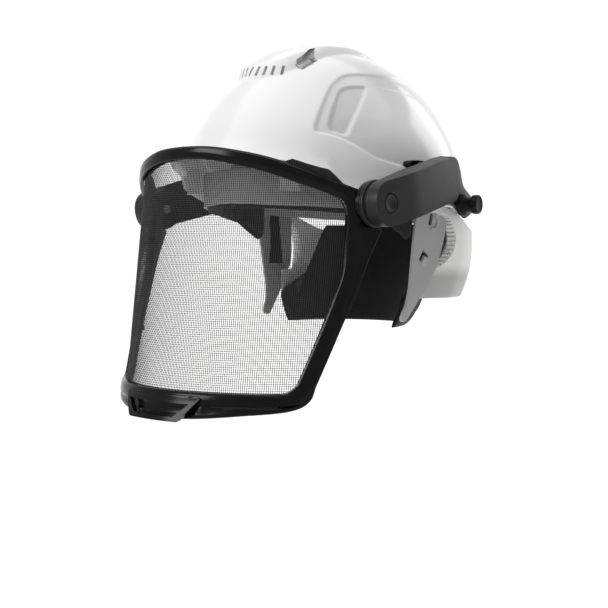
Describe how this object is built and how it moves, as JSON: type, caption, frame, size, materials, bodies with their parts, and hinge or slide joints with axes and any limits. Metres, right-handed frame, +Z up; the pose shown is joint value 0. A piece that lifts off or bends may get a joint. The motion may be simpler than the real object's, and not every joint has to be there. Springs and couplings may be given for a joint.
{
  "type": "face shield",
  "caption": "Woven-mesh visor on two lifting side arms, carried by a vented safety helmet with a headband, nape cradle and ratchet knob.",
  "frame": {"origin": "on the visor's tilt axis height, at the middle of the helmet, where the head goes in from below", "axes": "+X to the wearer's left, -Y to the front, +Z up"},
  "size_m": [0.264, 0.334, 0.2871],
  "materials": {
    "shell_white": "gloss",
    "cradle_white": "satin",
    "suspension_grey": "satin",
    "visor_black": "gloss",
    "matt_black": "matte",
    "charcoal": "satin",
    "visor_mesh": "satin",
    "seal_foam": "matte",
    "padding": "matte",
    "webbing": "matte",
    "steel": "satin"
  },
  "bodies": {
    "helmet": {"helmet_shell": "shell_white", "carrier_band": "charcoal", "left_arm_pin": "steel", "right_arm_pin": "steel", "left_knob_stud": "steel", "right_knob_stud": "steel", "headband": "suspension_grey", "sweatband": "padding", "crown_strap_lengthways": "webbing", "crown_strap_crossways": "webbing", "suspension_clip_front_left": "suspension_grey", "suspension_clip_front_right": "suspension_grey", "suspension_clip_rear_left": "suspension_grey", "suspension_clip_rear_right": "suspension_grey", "nape_cradle": "cradle_white", "nape_pad": "padding", "ratchet_housing": "suspension_grey", "left_slot_adapter": "charcoal", "right_slot_adapter": "charcoal", "left_side_strap": "suspension_grey", "right_side_strap": "suspension_grey"},
    "left_arm": {"left_arm_cover": "charcoal", "left_arm_inner_plate": "matt_black", "left_button_spring": "steel"},
    "right_arm": {"right_arm_cover": "charcoal", "right_arm_inner_plate": "matt_black", "right_button_spring": "steel"},
    "visor": {"visor_frame": "visor_black", "visor_mesh": "visor_mesh", "mesh_retainer": "matt_black", "brow_seal": "seal_foam", "mesh_rivet_1": "matt_black", "mesh_rivet_2": "matt_black", "mesh_rivet_3": "matt_black", "mesh_rivet_4": "matt_black", "mesh_rivet_5": "matt_black", "mesh_rivet_6": "matt_black", "left_hinge_disc": "charcoal", "right_hinge_disc": "charcoal", "left_hinge_screw": "steel", "right_hinge_screw": "steel"},
    "left_button": {"left_release_button": "charcoal"},
    "left_knob": {"left_clamp_knob": "matt_black"},
    "left_slider": {"left_vent_slider": "suspension_grey"},
    "right_button": {"right_release_button": "charcoal"},
    "right_knob": {"right_clamp_knob": "matt_black"},
    "right_slider": {"right_vent_slider": "suspension_grey"},
    "ratchet": {"ratchet_knob": "matt_black", "ratchet_pinion": "suspension_grey"}
  },
  "joints": [
    {"name": "left_arm_lift", "type": "hinge", "parent": "helmet", "child": "left_arm", "pos_m": [0, 0.00795, 0.018], "axis": [-1, 0, 0], "range_deg": [0, 60]},
    {"name": "right_arm_lift", "type": "hinge", "parent": "helmet", "child": "right_arm", "pos_m": [0, 0.00795, 0.018], "axis": [-1, 0, 0], "range_deg": [0, 60]},
    {"name": "visor_tilt", "type": "hinge", "parent": "left_arm", "child": "visor", "pos_m": [0, -0.07, 0], "axis": [-1, 0, 0], "range_deg": [0, 35]},
    {"name": "left_button_press", "type": "slide", "parent": "left_arm", "child": "left_button", "axis": [-1, 0, 0], "range_m": [0, 0.0018], "stiffness_N_per_m": 600, "springref_m": -0.0012, "deforming": ["left_button_spring"]},
    {"name": "right_button_press", "type": "slide", "parent": "right_arm", "child": "right_button", "axis": [1, 0, 0], "range_m": [0, 0.0018], "stiffness_N_per_m": 600, "springref_m": -0.0012, "deforming": ["right_button_spring"]},
    {"name": "left_knob_turn", "type": "hinge", "parent": "helmet", "child": "left_knob", "pos_m": [0.1062, 0.0467, 0.002], "axis": [0.9781, 0.2079, 0], "continuous": true},
    {"name": "right_knob_turn", "type": "hinge", "parent": "helmet", "child": "right_knob", "pos_m": [-0.1062, 0.0467, 0.002], "axis": [-0.9781, 0.2079, 0], "continuous": true},
    {"name": "left_vent_slide", "type": "slide", "parent": "helmet", "child": "left_slider", "axis": [-0.0044, 0.8996, 0.4367], "range_m": [0, 0.006]},
    {"name": "right_vent_slide", "type": "slide", "parent": "helmet", "child": "right_slider", "axis": [0.0044, 0.8996, 0.4367], "range_m": [0, 0.006]},
    {"name": "ratchet_turn", "type": "hinge", "parent": "helmet", "child": "ratchet", "pos_m": [0, 0.143, -0.032], "axis": [0, 1, 0], "continuous": true}
  ],
  "couplings": [
    {"joint": "right_arm_lift", "follows": "left_arm_lift", "ratio": 1}
  ]
}
